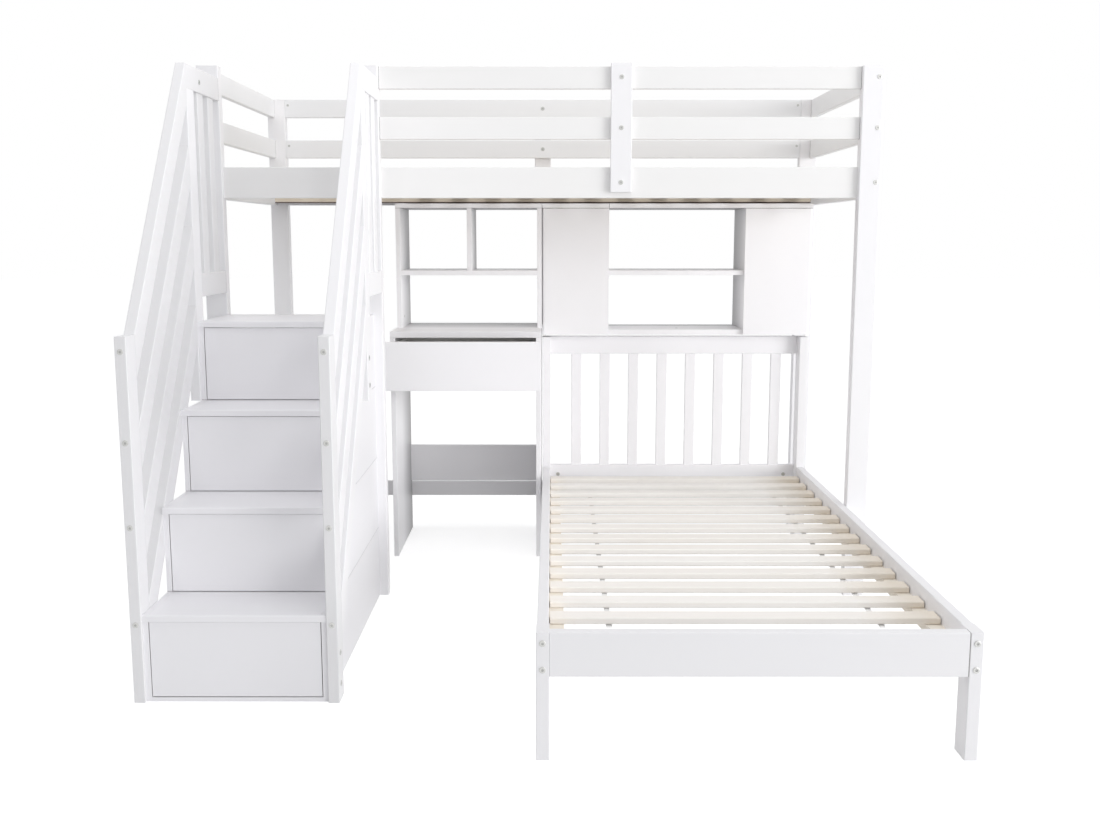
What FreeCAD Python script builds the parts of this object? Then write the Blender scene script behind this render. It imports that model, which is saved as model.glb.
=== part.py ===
import FreeCAD, Part
import Sketcher
import os

# L-shaped bunk bed: a long upper bed, a storage staircase in front of its left end, a desk with a
# shelf unit and cabinets below it, and a lower bed that stands square to it. Sizes are millimetres.
# +X runs along the upper bed, +Y to its back, +Z up; the origin is under the middle of the whole.

OVERVIEW = [
    ("upper_length", 2224, "upper bed, over its end posts"),
    ("upper_depth", 982, "upper bed, front post face to back post face"),
    ("upper_height", 1770, "post tops above the floor"),
    ("foot_reach", 1268, "lower bed's foot in front of the upper bed"),
    ("edge_round", 2.5, "rounded edges of the boards in front"),
    ("edge_ease", 2, "eased edges of the boards behind"),
    ("panel_ease", 1, "eased edges of flat panels"),
    ("joint_gap", 0.3, "running gap of a sliding piece"),
]
UPPER_BED = [
    ("post_width", 70, "post along the bed"),
    ("post_depth", 40, "post across the bed"),
    ("post_round", 3, "rounding of the posts"),
    ("rail_thick", 22, "thickness of every upper rail"),
    ("end_setback", 6, "end rail face inside the end of the bed"),
    ("guard_height", 71, "guard rail, top to bottom"),
    ("guard_gap", 89, "clear space between guard rails"),
    ("side_rail_height", 100, "rail that carries the deck"),
    ("plate_width", 69, "upright plate on the front guard"),
    ("plate_shift", 263, "plate centre to the right of the middle"),
    ("plate_rise", 8, "plate above the post tops"),
    ("plate_foot", 19, "plate foot above the rail's lower edge"),
    ("upright_width", 65, "middle upright of the back guard"),
    ("ledger_width", 40, "slat ledger"),
    ("ledger_height", 20, "slat ledger"),
    ("ledger_lift", 10, "slat ledger above the deck rail's lower edge"),
    ("upper_slat_width", 70, "upper slat"),
    ("upper_slat_margin", 45, "first slat from the end rail"),
    ("upper_slat_gap", 2, "slat end behind the posts"),
    ("slat_thick", 17, "every slat"),
    ("slat_round", 4, "rounded edges of a lower slat"),
    ("slat_ease", 3, "eased edges of an upper slat"),
    ("stretcher_floor", 139, "low back stretcher above the floor"),
    ("stretcher_height", 61, "low back stretcher"),
]
STAIRS = [
    ("stair_width", 546, "over both guards"),
    ("guard_thick", 30, "newel, slanted boards and landing boards"),
    ("first_rise", 240, "floor to the first tread"),
    ("rise", 243, "tread to tread"),
    ("going", 200, "tread front to tread front"),
    ("landing_run", 327, "top tread, front to back"),
    ("tread_thick", 18, "tread board"),
    ("tread_nose", 6, "tread in front of the drawer face"),
    ("tread_round", 4, "rounding of the tread's front"),
    ("stair_side_thick", 15, "side boards of the drawer case"),
    ("base_thick", 12, "bottom board of the drawer case"),
    ("drawer_face_thick", 15, "drawer front"),
    ("drawer_face_gap", 2, "around a drawer front"),
    ("newel_lead", 4, "newel in front of the first tread"),
    ("newel_depth", 68, "newel, front to back"),
    ("newel_top", 975, "newel above the floor"),
    ("guard_drop", 39, "landing guard below the post tops"),
    ("slant_width", 68, "slanted guard board"),
    ("slant_gap", 68, "between slanted boards"),
    ("stile_reach", 335, "stile front before the upper bed"),
    ("stile_width", 70, "stile, front to back"),
    ("stile_foot", 726, "stile foot above the floor"),
    ("landing_board", 72, "top and bottom board of the landing guard"),
    ("landing_foot", 1041, "bottom board above the floor"),
    ("baluster_width", 58, "landing baluster"),
    ("baluster_thick", 20, "landing baluster"),
]
DRAWERS = [
    ("drawer_side_thick", 12, "drawer sides and back"),
    ("drawer_bottom_thick", 6, "drawer bottom panel"),
    ("drawer_bottom_lift", 8, "bottom panel above the side's lower edge"),
    ("drawer_side_gap", 3, "drawer side to its case"),
    ("drawer_side_drop", 45, "drawer side below the top of its front"),
    ("stair_drawer_depth", 420, "behind the front, lower three"),
    ("top_drawer_depth", 270, "behind the front, top one"),
]
DESK = [
    ("desk_gap", 5, "desk to the lower bed"),
    ("desk_width", 568, "over the desk sides"),
    ("desk_set", 489, "desk front behind the upper bed's front"),
    ("desk_height", 871, "desk top above the floor"),
    ("desk_top_thick", 24, "desk top board"),
    ("panel_thick", 18, "desk, shelf and cabinet panels"),
    ("desk_front_thick", 18, "desk drawer front"),
    ("desk_front_height", 181, "desk drawer front"),
    ("desk_front_gap", 3, "drawer front below the top"),
    ("desk_drawer_depth", 390, "behind the front"),
    ("desk_drawer_open", 115, "drawer drawn out at rest"),
    ("desk_box_lift", 24, "drawer box above the front's lower edge"),
    ("desk_side_drop", 12, "desk drawer side below the top of its front"),
    ("runner_width", 16, "drawer runner"),
    ("runner_height", 20, "drawer runner"),
    ("modesty_floor", 208, "modesty panel above the floor"),
    ("modesty_height", 150, "modesty panel"),
]
SHELVES = [
    ("shelf_set", 658, "shelf unit front behind the upper bed's front"),
    ("shelf_share", 0.4837, "shelf top between the desk top and the unit's top board"),
    ("hutch_inset", 7, "shelf unit side inside the desk side"),
    ("hutch_gap", 2, "desk shelf unit to the cabinets"),
    ("divider_shift", 289, "divider to the left of the unit's right end"),
    ("cabinet_gap", 10, "cabinet above the headboard"),
    ("cabinet_base_thick", 20, "cabinet bottom board"),
    ("door_width", 257, "cabinet door"),
    ("door_thick", 15, "cabinet door"),
    ("door_gap", 1, "around a cabinet door"),
    ("pin_radius", 4, "door pivot pin"),
    ("pin_gap", 0.08, "pin in its hole, per side"),
    ("pin_reach", 14, "pin inside the door"),
    ("pin_end_gap", 1, "pin end to the bottom of its hole"),
    ("plate_thick", 3, "lower pivot plate"),
    ("plate_length", 46, "lower pivot plate, front to back"),
]
LOWER_BED = [
    ("lower_width", 1044, "lower bed over its legs"),
    ("lower_length", 2016, "lower bed, foot to head"),
    ("lower_top", 315, "side rail top above the floor"),
    ("lower_rail_height", 108, "side, foot and head rails"),
    ("lower_rail_thick", 28, "side rails"),
    ("lower_rail_inset", 2, "side rail inside the leg's outer face"),
    ("foot_rail_thick", 30, "foot rail"),
    ("leg_width", 32, "legs and headboard posts, across"),
    ("leg_depth", 68, "legs and headboard posts, lengthwise"),
    ("head_top", 834, "headboard above the floor"),
    ("head_rail_thick", 24, "headboard rails"),
    ("head_rail_height", 70, "headboard top rail"),
    ("spindle_width", 41, "headboard upright"),
    ("spindle_thick", 14, "headboard upright"),
    ("spindle_shift", 10, "headboard uprights to the right of the middle"),
    ("lower_ledger_width", 38, "slat ledger"),
    ("lower_ledger_height", 24, "slat ledger"),
    ("lower_slat_drop", 34, "slat tops below the rail tops"),
    ("lower_slat_width", 58, "lower slat"),
    ("lower_slat_foot", 174, "first slat behind the foot rail"),
    ("lower_slat_pitch", 128.3, "slat to slat"),
    ("lower_slat_gap", 3, "slat end to the side rail"),
    ("strap_width", 15, "strap that holds the slats apart"),
    ("strap_thick", 1.2, "strap"),
    ("strap_inset", 173, "strap inside the lower bed's side"),
]

TREADS = 4
SLANT_BOARDS = 4
BALUSTERS = 2
SPINDLES = 8
LOWER_SLATS = 14
UPPER_SLATS = 16

doc = FreeCAD.newDocument("bunk_bed")
sizes = doc.addObject("Spreadsheet::Sheet", "sizes")
rows = OVERVIEW + UPPER_BED + STAIRS + DRAWERS + DESK + SHELVES + LOWER_BED
for row, (alias, value, words) in enumerate(rows, start=1):
    sizes.set(f"A{row}", words)
    sizes.set(f"B{row}", str(value))
    sizes.setAlias(f"B{row}", alias)
doc.recompute()

AXES = (FreeCAD.Vector(1, 0, 0), FreeCAD.Vector(0, 1, 0), FreeCAD.Vector(0, 0, 1))
nodes = []


def cell(alias):
    return f"sizes.{alias}"


def add(*terms):
    return "(" + " + ".join(terms) + ")"


def less(whole, *terms):
    return "(" + " - ".join((whole,) + terms) + ")"


def times(count, term):
    return f"({count} * {term})"


def half(term):
    return f"({term} / 2)"


def new_body(label):
    return doc.addObject("PartDesign::Body", label)


def place(body, corner):
    for letter, term in zip("xyz", corner):
        body.setExpression(f"Placement.Base.{letter}", term)


def edges_along(shape, direction):
    "Names of the straight edges of a shape that run along a direction."
    parallel_share = 1e-6
    names = []
    for number, edge in enumerate(shape.Edges, start=1):
        run = edge.Vertexes[-1].Point - edge.Vertexes[0].Point
        if run.cross(direction).Length < parallel_share * run.Length:
            names.append(f"Edge{number}")
    return names


ROUND = ("Fillet", "Radius", cell("edge_round"))
ROUND_POST = ("Fillet", "Radius", cell("post_round"))
ROUND_SLAT = ("Fillet", "Radius", cell("slat_round"))
ROUND_TREAD = ("Fillet", "Radius", cell("tread_round"))
EASE = ("Chamfer", "Size", cell("edge_ease"))
EASE_SLAT = ("Chamfer", "Size", cell("slat_ease"))
EASE_PANEL = ("Chamfer", "Size", cell("panel_ease"))


def dress(body, feature, names, edge):
    kind, size_name, size = edge
    dressing = body.newObject("PartDesign::" + kind, body.Label + "_edges")
    dressing.Base = (feature, names)
    dressing.setExpression(size_name, size)


def board(label, corner, size, grain=None, edge=None):
    "A straight board of a size, its lower left front corner placed; edges along the grain are dressed."
    body = new_body(label)
    box = body.newObject("PartDesign::AdditiveBox", label + "_stock")
    for name, term in zip(("Length", "Width", "Height"), size):
        box.setExpression(name, term)
    place(body, corner)
    if edge:
        doc.recompute()
        dress(body, box, edges_along(box.Shape, AXES["XYZ".index(grain)]), edge)
    return body


def outline(body, plane, points):
    "A closed sketch on one of the body's own planes through points given as pairs of expressions."
    support = [item for item in body.Origin.OriginFeatures if item.Role == plane][0]
    sketch = body.newObject("Sketcher::SketchObject", body.Label + "_outline")
    sketch.AttachmentSupport = (support, [""])
    sketch.MapMode = "FlatFace"
    spots = [tuple(body.evalExpression(term) for term in point) for point in points]
    ends = spots[1:] + spots[:1]
    for start, end in zip(spots, ends):
        sketch.addGeometry(Part.LineSegment(FreeCAD.Vector(*start, 0), FreeCAD.Vector(*end, 0)))
    for number in range(len(spots)):
        follower = (number + 1) % len(spots)
        sketch.addConstraint(Sketcher.Constraint("Coincident", number, 2, follower, 1))
    for number, point in enumerate(points):
        for kind, term, spot in zip(("DistanceX", "DistanceY"), point, spots[number]):
            name = f"{kind[-1].lower()}_{number}"
            index = sketch.addConstraint(Sketcher.Constraint(kind, -1, 1, number, 1, spot))
            sketch.renameConstraint(index, name)
            sketch.setExpression(f"Constraints.{name}", term)
    return sketch


def pad(body, sketch, length):
    feature = body.newObject("PartDesign::Pad", body.Label + "_pad")
    feature.Profile = sketch
    feature.setExpression("Length", length)
    doc.recompute()
    return feature


def node(label, *pieces):
    "One named sub-part: a single piece, or a group of separate like pieces."
    if len(pieces) == 1:
        pieces[0].Label = label
        nodes.append(pieces[0])
        return
    group = doc.addObject("Part::Compound", label)
    group.Links = list(pieces)
    group.Label = label
    nodes.append(group)


# Planes that the pieces share
half_length = half(cell("upper_length"))
left = f"(-{half_length})"
right = half_length
front = half(less(cell("foot_reach"), cell("upper_depth")))
back = add(front, cell("upper_depth"))
left_in = add(left, cell("post_width"))
right_in = less(right, cell("post_width"))
front_in = add(front, cell("post_depth"))
back_in = less(back, cell("post_depth"))
setback = less(cell("post_depth"), cell("rail_thick"))
front_rail = add(front, setback)
back_rail = back_in
deck_top = less(cell("upper_height"), times(2, cell("guard_height")), times(2, cell("guard_gap")))
deck_foot = less(deck_top, cell("side_rail_height"))
guard_feet = (add(deck_top, cell("guard_gap")), less(cell("upper_height"), cell("guard_height")))
stair_left = less(left_in, cell("guard_thick"))
stair_right = add(stair_left, cell("stair_width"))


# Upper bed: five posts on the floor
def post(label, x, y):
    size = (cell("post_width"), cell("post_depth"), cell("upper_height"))
    return board(label, (x, y, "0"), size, "Z", ROUND_POST)


node("front_posts", post("front_post_left", left, front), post("front_post_right", right_in, front))
node("back_posts", post("back_post_left", left, back_in), post("back_post_right", right_in, back_in))
stair_post_left = less(stair_right, cell("post_width"))
node("stair_post", post("stair_post_stock", stair_post_left, front))


# Rails between the posts, flush with their inner faces: the deck rails, and two guard rails above
# them all round
def long_rail(label, start, end, y, z, height, edge):
    size = (less(end, start), cell("rail_thick"), height)
    return board(label, (start, y, z), size, "X", edge)


def end_rail(label, x, z, height):
    size = (cell("rail_thick"), less(back_in, front_in), height)
    return board(label, (x, front_in, z), size, "Y", EASE)


end_rails_x = {
    "left": add(left, cell("end_setback")),
    "right": less(right, cell("end_setback"), cell("rail_thick")),
}
deck_rail = cell("side_rail_height")
node(
    "upper_front_rail",
    long_rail("front_rail_stair", left_in, stair_post_left, front_rail, deck_foot, deck_rail, ROUND),
    long_rail("front_rail_long", stair_right, right_in, front_rail, deck_foot, deck_rail, ROUND),
)
node("upper_back_rail", long_rail(
    "back_rail_long", left_in, right_in, back_rail, deck_foot, deck_rail, EASE))
node(
    "upper_end_rails",
    *[end_rail(f"end_rail_{side}", x, deck_foot, deck_rail) for side, x in end_rails_x.items()],
)
guard = cell("guard_height")
node(
    "front_guard_rails",
    *[long_rail(f"front_guard_{number}", stair_right, right_in, front_rail, z, guard, ROUND)
      for number, z in enumerate(guard_feet)],
)
node(
    "back_guard_rails",
    *[long_rail(f"back_guard_{number}", left_in, right_in, back_rail, z, guard, EASE)
      for number, z in enumerate(guard_feet)],
)
node(
    "end_guard_rails",
    *[end_rail(f"end_guard_{side}_{number}", x, z, guard)
      for side, x in end_rails_x.items() for number, z in enumerate(guard_feet)],
)

# Upright plate screwed to the outside of the front guard, and its partner behind the back guard
plate_foot = add(deck_foot, cell("plate_foot"))
plate_top = add(cell("upper_height"), cell("plate_rise"))
node("front_guard_plate", board(
    "guard_plate_stock",
    (less(cell("plate_shift"), half(cell("plate_width"))), front, plate_foot),
    (cell("plate_width"), setback, less(plate_top, plate_foot)),
    "Z", ROUND,
))
node("back_guard_upright", board(
    "upright_stock",
    (f"(-{half(cell('upright_width'))})", add(back_rail, cell("rail_thick")), deck_foot),
    (cell("upright_width"), setback, less(cell("upper_height"), deck_foot)),
    "Z", EASE,
))

# Upper deck: ledgers from end rail to end rail along the inside of the deck rails, slats across them
ledger_start = add(end_rails_x["left"], cell("rail_thick"))
ledger_foot = add(deck_foot, cell("ledger_lift"))
ledger_top = add(ledger_foot, cell("ledger_height"))
ledger_length = less(end_rails_x["right"], ledger_start)
ledger_sides = {"front": front_in, "back": less(back_in, cell("ledger_width"))}
node("upper_slat_ledgers", *[
    board(f"ledger_{side}", (ledger_start, y, ledger_foot),
          (ledger_length, cell("ledger_width"), cell("ledger_height")))
    for side, y in ledger_sides.items()
])
slat_start = add(ledger_start, cell("upper_slat_margin"))
slat_end = less(end_rails_x["right"], cell("upper_slat_margin"), cell("upper_slat_width"))
slat_front = add(front_in, cell("upper_slat_gap"))
slat_span = less(back_in, cell("upper_slat_gap"), slat_front)
upper_slats = []
for number in range(UPPER_SLATS):
    step = f"({less(slat_end, slat_start)} * {number} / {UPPER_SLATS - 1})"
    upper_slats.append(board(
        f"upper_slat_{number}",
        (add(slat_start, step), slat_front, ledger_top),
        (cell("upper_slat_width"), slat_span, cell("slat_thick")),
        "Y", EASE_SLAT,
    ))
node("upper_slats", *upper_slats)
node("back_stretcher", long_rail(
    "stretcher_stock", left_in, right_in, back_rail, cell("stretcher_floor"), cell("stretcher_height"), EASE))

# Stair case: stacked side boards, a bottom board, and treads that also floor the drawers above
case_left = left_in
case_right = less(stair_right, cell("guard_thick"))
clear_left = add(case_left, cell("stair_side_thick"))
clear_right = less(case_right, cell("stair_side_thick"))


def tread_front(step):
    return less(front, cell("landing_run"), times(TREADS - step, cell("going")))


def tread_top(step):
    return add(cell("first_rise"), times(step - 1, cell("rise")))


def case_front(step):
    return add(tread_front(step), cell("tread_nose"))


def stair_side(label, x):
    boards = []
    for step in range(1, TREADS + 1):
        foot = tread_top(step - 1) if step > 1 else "0"
        size = (cell("stair_side_thick"), less(front, case_front(step)), less(tread_top(step), foot))
        boards.append(board(f"{label}_{step}", (x, case_front(step), foot), size, "Y", EASE_PANEL))
    return boards


node("stair_left_side", *stair_side("stair_left_board", case_left))
node("stair_right_side", *stair_side("stair_right_board", clear_right))
node("stair_base_board", board(
    "stair_base_stock", (clear_left, case_front(1), "0"),
    (less(clear_right, clear_left), less(front, case_front(1)), cell("base_thick")),
))


def tread(step):
    "A board between the case sides, whose nose runs across their front edges."
    body = new_body(f"stair_tread_{step}")
    width = less(case_right, case_left)
    narrow = less(width, cell("stair_side_thick"))
    depth = less(front, tread_front(step))
    side = cell("stair_side_thick")
    nose = cell("tread_nose")
    sketch = outline(body, "XY_Plane", [
        ("0", "0"), (width, "0"), (width, nose), (narrow, nose),
        (narrow, depth), (side, depth), (side, nose), ("0", nose),
    ])
    stock = pad(body, sketch, cell("tread_thick"))
    upper = max(edge.CenterOfMass.z for edge in stock.Shape.Edges)
    names = [name for name in edges_along(stock.Shape, AXES[0])
             if stock.Shape.getElement(name).CenterOfMass.y == 0
             and stock.Shape.getElement(name).CenterOfMass.z == upper]
    dress(body, stock, names, ROUND_TREAD)
    place(body, (case_left, tread_front(step), less(tread_top(step), cell("tread_thick"))))
    return body


for step in range(1, TREADS + 1):
    node(f"stair_tread_{step}", tread(step))


# Drawers: a front, and behind it a box of two sides, a back and a raised bottom panel
def drawer_box(label, clear_from, clear_to, y, z, depth, height):
    thick = cell("drawer_side_thick")
    start = add(clear_from, cell("drawer_side_gap"))
    end = less(clear_to, cell("drawer_side_gap"))
    inner = add(start, thick)
    inner_width = less(end, start, times(2, thick))
    floor = add(z, cell("drawer_bottom_lift"))
    return [
        board(label + "_left", (start, y, z), (thick, depth, height)),
        board(label + "_right", (less(end, thick), y, z), (thick, depth, height)),
        board(label + "_back", (inner, less(add(y, depth), thick), z), (inner_width, thick, height)),
        board(label + "_bottom", (inner, y, floor),
              (inner_width, less(depth, thick), cell("drawer_bottom_thick"))),
    ]


face_left = add(clear_left, cell("drawer_face_gap"))
face_width = less(clear_right, clear_left, times(2, cell("drawer_face_gap")))
for step in range(1, TREADS + 1):
    floor = tread_top(step - 1) if step > 1 else cell("base_thick")
    foot = add(floor, cell("drawer_face_gap"))
    top = less(tread_top(step), cell("tread_thick"), cell("drawer_face_gap"))
    node(f"stair_drawer_front_{step}", board(
        f"stair_face_{step}", (face_left, case_front(step), foot),
        (face_width, cell("drawer_face_thick"), less(top, foot)), "X", EASE_PANEL,
    ))
    depth = cell("top_drawer_depth") if step == TREADS else cell("stair_drawer_depth")
    seat = add(floor, cell("joint_gap"))
    node(f"stair_drawer_box_{step}", *drawer_box(
        f"stair_box_{step}", clear_left, clear_right,
        add(case_front(step), cell("drawer_face_thick")), seat,
        depth, less(top, cell("drawer_side_drop"), seat),
    ))

# Stair guards: newel, four slanted boards cut plumb at both ends, stile, and the landing guard
newel_front = less(tread_front(1), cell("newel_lead"))
newel_back = add(newel_front, cell("newel_depth"))
stile_front = less(front, cell("stile_reach"))
stile_back = add(stile_front, cell("stile_width"))
slant_run = less(stile_front, newel_back)
guard_top = less(cell("upper_height"), cell("guard_drop"))
slant_rise = less(guard_top, cell("newel_top"))
slant_stretch = f"(sqrt({slant_run} * {slant_run} + {slant_rise} * {slant_rise}) / {slant_run})"
slant_plumb = f"({cell('slant_width')} * {slant_stretch})"
slant_pitch = f"({add(cell('slant_width'), cell('slant_gap'))} * {slant_stretch})"
landing_top_foot = less(guard_top, cell("landing_board"))
guards_x = {"left": stair_left, "right": case_right}


def slant_board(label, x, number):
    body = new_body(label)
    sketch = outline(body, "YZ_Plane", [
        ("0", "0"), (slant_run, slant_rise), (slant_run, add(slant_rise, slant_plumb)), ("0", slant_plumb),
    ])
    stock = pad(body, sketch, cell("guard_thick"))
    slope = FreeCAD.Vector(0, body.evalExpression(slant_run), body.evalExpression(slant_rise))
    dress(body, stock, edges_along(stock.Shape, slope), ROUND)
    place(body, (x, newel_back, less(cell("newel_top"), slant_plumb, times(number, slant_pitch))))
    return body


def landing_board(label, x, y, z):
    size = (cell("guard_thick"), less(front, y), cell("landing_board"))
    return board(label, (x, y, z), size, "Y", ROUND)


def baluster(label, x, number):
    foot = add(cell("landing_foot"), cell("landing_board"))
    gaps = less(front, stile_back, times(BALUSTERS, cell("baluster_width")))
    step = f"({gaps} * {number + 1} / {BALUSTERS + 1} + {number} * {cell('baluster_width')})"
    inset = half(less(cell("guard_thick"), cell("baluster_thick")))
    size = (cell("baluster_thick"), cell("baluster_width"), less(landing_top_foot, foot))
    return board(label, (add(x, inset), add(stile_back, step), foot), size, "Z", EASE)


newel_size = (cell("guard_thick"), cell("newel_depth"), cell("newel_top"))
stile_size = (cell("guard_thick"), cell("stile_width"), less(landing_top_foot, cell("stile_foot")))
node("stair_newels", *[
    board(f"newel_{side}", (x, newel_front, "0"), newel_size, "Z", ROUND)
    for side, x in guards_x.items()
])
node("stair_stiles", *[
    board(f"stile_{side}", (x, stile_front, cell("stile_foot")), stile_size, "Z", ROUND)
    for side, x in guards_x.items()
])
for side, x in guards_x.items():
    slants = [slant_board(f"slant_{side}_{number}", x, number) for number in range(SLANT_BOARDS)]
    node(f"{side}_slanted_boards", *slants)
    node(
        f"{side}_landing_guard",
        landing_board(f"landing_top_{side}", x, stile_front, landing_top_foot),
        landing_board(f"landing_foot_{side}", x, stile_back, cell("landing_foot")),
        *[baluster(f"baluster_{side}_{number}", x, number) for number in range(BALUSTERS)],
    )

# Desk: two sides, a top, a modesty panel and a drawer that stands a little open. The lower bed's
# right rail lies against the front post, and the desk ends short of the lower bed's left side.
panel = cell("panel_thick")
lower_right = add(right_in, cell("lower_rail_inset"))
lower_left = less(lower_right, cell("lower_width"))
desk_right = less(lower_left, cell("desk_gap"))
desk_left = less(desk_right, cell("desk_width"))
desk_front = add(front, cell("desk_set"))
desk_depth = less(back_rail, desk_front)
desk_under = less(cell("desk_height"), cell("desk_top_thick"))
desk_clear_left = add(desk_left, panel)
desk_clear_right = less(desk_right, panel)
node("desk_top", board(
    "desk_top_stock", (desk_left, desk_front, desk_under),
    (cell("desk_width"), desk_depth, cell("desk_top_thick")), "X", ROUND,
))
desk_side_size = (panel, desk_depth, desk_under)
node("desk_sides", *[
    board(f"desk_side_{number}", (x, desk_front, "0"), desk_side_size, "Z", EASE_PANEL)
    for number, x in enumerate((desk_left, desk_clear_right))
])
node("desk_modesty_panel", board(
    "modesty_stock", (desk_clear_left, less(back_rail, panel), cell("modesty_floor")),
    (less(desk_clear_right, desk_clear_left), panel, cell("modesty_height")),
))
drawer_back = less(desk_front, cell("joint_gap"), cell("desk_drawer_open"))
drawer_top = less(desk_under, cell("desk_front_gap"))
drawer_foot = less(drawer_top, cell("desk_front_height"))
box_foot = add(drawer_foot, cell("desk_box_lift"))
node("desk_drawer_front", board(
    "desk_face_stock", (desk_left, less(drawer_back, cell("desk_front_thick")), drawer_foot),
    (cell("desk_width"), cell("desk_front_thick"), cell("desk_front_height")), "X", ROUND,
))
node("desk_drawer_box", *drawer_box(
    "desk_box", desk_clear_left, desk_clear_right, drawer_back, box_foot, cell("desk_drawer_depth"),
    less(drawer_top, cell("desk_side_drop"), box_foot),
))
runner_foot = less(box_foot, cell("joint_gap"), cell("runner_height"))
runner_size = (cell("runner_width"), less(desk_depth, panel), cell("runner_height"))
node("desk_drawer_runners", *[
    board(f"runner_{number}", (x, desk_front, runner_foot), runner_size)
    for number, x in enumerate((desk_clear_left, less(desk_clear_right, cell("runner_width"))))
])

# Shelf unit on the desk: sides, one shelf and a divider above it. Its top board, like that of the
# cabinets, runs on under the back deck rail and is screwed up to it.
shelf_front = add(front, cell("shelf_set"))
shelf_depth = less(back_rail, shelf_front)
top_depth = add(shelf_depth, cell("rail_thick"))
unit_under = less(deck_foot, panel)
shelf_top = add(cell("desk_height"), f"{cell('shelf_share')} * {less(unit_under, cell('desk_height'))}")
shelf_foot = less(shelf_top, panel)
hutch_left = add(desk_left, cell("hutch_inset"))
hutch_right = less(lower_left, cell("hutch_gap"))
hutch_side_size = (panel, shelf_depth, less(unit_under, cell("desk_height")))
node("hutch_sides", *[
    board(f"hutch_side_{number}", (x, shelf_front, cell("desk_height")), hutch_side_size, "Z", EASE_PANEL)
    for number, x in enumerate((hutch_left, less(hutch_right, panel)))
])
node("hutch_shelf", board(
    "hutch_shelf_stock", (add(hutch_left, panel), shelf_front, shelf_foot),
    (less(hutch_right, hutch_left, times(2, panel)), shelf_depth, panel), "X", EASE_PANEL,
))
node("hutch_divider", board(
    "hutch_divider_stock", (less(hutch_right, cell("divider_shift")), shelf_front, shelf_top),
    (panel, shelf_depth, less(unit_under, shelf_top)), "Z", EASE_PANEL,
))

# Cabinets above the headboard: four walls on a bottom board, a middle shelf and two pivoted doors
cabinet_left = lower_left
cabinet_right = right_in
cabinet_front = add(shelf_front, cell("door_thick"), cell("door_gap"))
cabinet_depth = less(back_rail, cabinet_front)
cabinet_width = less(cabinet_right, cabinet_left)
door_span = add(cell("door_gap"), cell("door_width"))
bay_left = add(cabinet_left, door_span)
bay_right = less(cabinet_right, door_span)
cabinet_floor = add(cell("head_top"), cell("cabinet_gap"))
wall_foot = add(cabinet_floor, cell("cabinet_base_thick"))
wall_size = (panel, cabinet_depth, less(unit_under, wall_foot))
node(
    "unit_tops",
    board("hutch_top_board", (hutch_left, shelf_front, unit_under),
          (less(hutch_right, hutch_left), top_depth, panel), "X", EASE_PANEL),
    board("cabinet_top_board", (cabinet_left, shelf_front, unit_under),
          (cabinet_width, top_depth, panel), "X", EASE_PANEL),
)
node("cabinet_walls", *[
    board(f"cabinet_wall_{number}", (x, cabinet_front, wall_foot), wall_size, "Z", EASE_PANEL)
    for number, x in enumerate((cabinet_left, less(bay_left, panel), bay_right, less(cabinet_right, panel)))
])
node("cabinet_bottom", board(
    "cabinet_bottom_stock", (cabinet_left, cabinet_front, cabinet_floor),
    (cabinet_width, cabinet_depth, cell("cabinet_base_thick")), "X", EASE_PANEL,
))
node("cabinet_shelf", board(
    "cabinet_shelf_stock", (bay_left, cabinet_front, shelf_foot),
    (less(bay_right, bay_left), cabinet_depth, panel), "X", EASE_PANEL,
))
door_foot = add(cabinet_floor, cell("door_gap"))
door_height = less(unit_under, cell("door_gap"), door_foot)
door_radius = half(cell("door_thick"))
pin_length = less(add(cell("door_gap"), cell("pin_reach")), cell("pin_end_gap"))


def bar(body, kind, label, radius, height, centre):
    "A round bar added to or bored out of a body."
    cylinder = body.newObject(f"PartDesign::{kind}Cylinder", label)
    cylinder.setExpression("Radius", radius)
    cylinder.setExpression("Height", height)
    for letter, term in zip("xyz", centre):
        cylinder.setExpression(f"Placement.Base.{letter}", term)


def door(label, corner, turn):
    "A door whose hinge edge is round about its pivot, with a blind pivot hole at top and bottom."
    body = new_body(label)
    box = body.newObject("PartDesign::AdditiveBox", label + "_leaf")
    box.setExpression("Length", less(cell("door_width"), door_radius))
    box.setExpression("Width", cell("door_thick"))
    box.setExpression("Height", door_height)
    box.setExpression("Placement.Base.x", door_radius)
    bar(body, "Additive", label + "_edge", door_radius, door_height, (door_radius, door_radius, "0"))
    hole = add(cell("pin_radius"), cell("pin_gap"))
    bar(body, "Subtractive", label + "_low_hole", hole, cell("pin_reach"), (door_radius, door_radius, "0"))
    high = less(door_height, cell("pin_reach"))
    bar(body, "Subtractive", label + "_high_hole", hole, cell("pin_reach"), (door_radius, door_radius, high))
    body.Placement = FreeCAD.Placement(FreeCAD.Vector(), FreeCAD.Rotation(AXES[2], turn))
    place(body, corner)
    return body


def top_pin(label, x):
    body = new_body(label)
    bar(body, "Additive", label + "_pin", cell("pin_radius"), pin_length, ("0", "0", "0"))
    place(body, (x, pivot_y, less(unit_under, pin_length)))
    return body


def low_pivot(label, x):
    "A steel plate under the cabinet with a pin that stands up into the door."
    body = new_body(label)
    plate = body.newObject("PartDesign::AdditiveBox", label + "_plate")
    plate.setExpression("Length", cell("door_thick"))
    plate.setExpression("Width", cell("plate_length"))
    plate.setExpression("Height", cell("plate_thick"))
    plate.setExpression("Placement.Base.x", f"(-{door_radius})")
    plate.setExpression("Placement.Base.y", f"(-{door_radius})")
    bar(body, "Additive", label + "_pin", cell("pin_radius"), pin_length, ("0", "0", cell("plate_thick")))
    place(body, (x, pivot_y, less(cabinet_floor, cell("plate_thick"))))
    return body


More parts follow.
